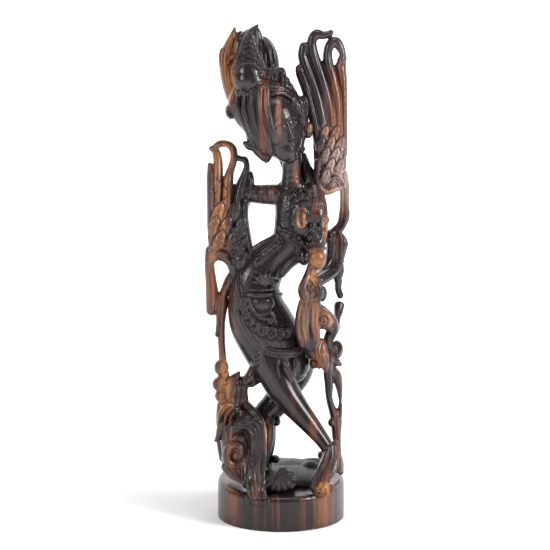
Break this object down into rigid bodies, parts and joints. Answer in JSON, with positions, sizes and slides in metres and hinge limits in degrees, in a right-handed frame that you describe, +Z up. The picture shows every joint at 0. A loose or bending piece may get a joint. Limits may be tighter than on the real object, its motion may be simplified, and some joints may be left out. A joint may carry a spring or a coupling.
{
  "type": "carved wooden figure",
  "caption": "Upright carving of a swaying dancer with a tall headdress, two raised feather wings and scrolling cloth, cut from one log with its round plinth",
  "frame": {"origin": "the middle of the round underside, on the surface it stands on", "axes": "+Z up; the figure faces -Y; +X is the viewer's right, the side of the raised wing beside the head"},
  "size_m": [0.1464, 0.1296, 0.4985],
  "materials": {
    "ebony": "hand-waxed, soft gloss, dark heart with reddish and tan streaks"
  },
  "bodies": {
    "root": {"carved_figure": "ebony"}
  },
  "joints": []
}
